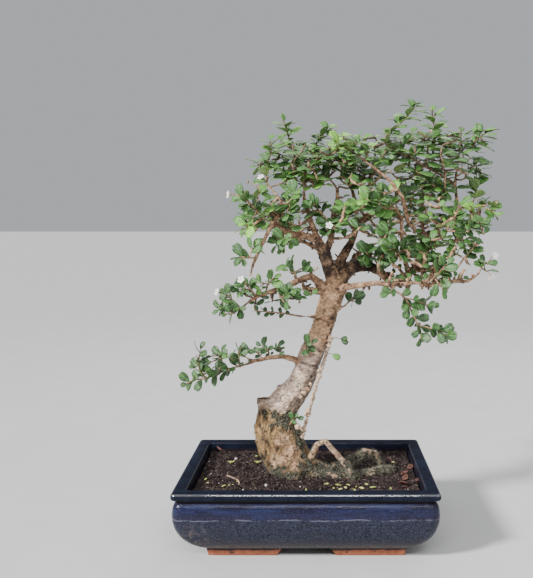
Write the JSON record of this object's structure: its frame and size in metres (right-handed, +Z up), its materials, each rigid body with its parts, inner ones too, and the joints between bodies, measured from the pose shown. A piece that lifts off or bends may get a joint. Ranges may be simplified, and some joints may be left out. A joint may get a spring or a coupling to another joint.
{
  "type": "fukien tea bonsai",
  "caption": "Fukien tea bonsai: a leaning trunk with surface roots and a spreading crown of small leaves and white flowers, growing in an oblong glazed pot on feet.",
  "frame": {"origin": "middle of the whole object's footprint, on the plane its feet stand on", "axes": "+Z up, the pot's long side along X with the tree leaning towards +X, its front towards -Y"},
  "size_m": [0.3924, 0.2326, 0.5239],
  "materials": {
    "glaze": "dark blue glaze, fired clay feet",
    "soil": "crumbly dark soil",
    "bark": "rough pale bark with moss",
    "leaf": "satin green leaves on woody twigs",
    "petal": "soft white petals",
    "screen": "black plastic mesh"
  },
  "bodies": {
    "root": {"drain_screen_left": "screen", "drain_screen_right": "screen", "flower_left_fork": "petal", "flower_left_shoot": "petal", "flower_right_low": "petal", "flower_right_tip": "petal", "flower_shelf_end": "petal", "flower_shelf_inner": "petal", "flower_star": "petal", "pot": "glaze", "soil": "soil", "spray_back_high": "leaf", "spray_back_left": "leaf", "spray_back_low": "leaf", "spray_back_right": "leaf", "spray_back_top": "leaf", "spray_base_leaves": "leaf", "spray_center_left": "leaf", "spray_crossing_low": "leaf", "spray_crossing_tip": "leaf", "spray_far_right": "leaf", "spray_hanging_left": "leaf", "spray_hanging_right": "leaf", "spray_high_left": "leaf", "spray_high_left_bright": "leaf", "spray_high_mid": "leaf", "spray_left_bright": "leaf", "spray_left_fork": "leaf", "spray_left_shoot": "leaf", "spray_left_under": "leaf", "spray_low_left_inner": "leaf", "spray_low_left_outer": "leaf", "spray_lower_right_tip": "leaf", "spray_lower_riser": "leaf", "spray_mid_leader": "leaf", "spray_pale_riser": "leaf", "spray_pale_side": "leaf", "spray_pale_tip": "leaf", "spray_right_fork": "leaf", "spray_right_low_front": "leaf", "spray_right_low_mid": "leaf", "spray_right_mid": "leaf", "spray_right_top": "leaf", "spray_right_twig": "leaf", "spray_right_upper": "leaf", "spray_right_upper_front": "leaf", "spray_riser_low": "leaf", "spray_riser_tip": "leaf", "spray_shelf_dark": "leaf", "spray_shelf_flower": "leaf", "spray_shelf_hanging": "leaf", "spray_shelf_mid": "leaf", "spray_shelf_outer": "leaf", "spray_star": "leaf", "spray_tall_base": "leaf", "spray_tall_mid_shoot": "leaf", "spray_tall_right": "leaf", "spray_thin_left": "leaf", "spray_trunk_leaves": "leaf", "trunk": "bark"}
  },
  "joints": []
}
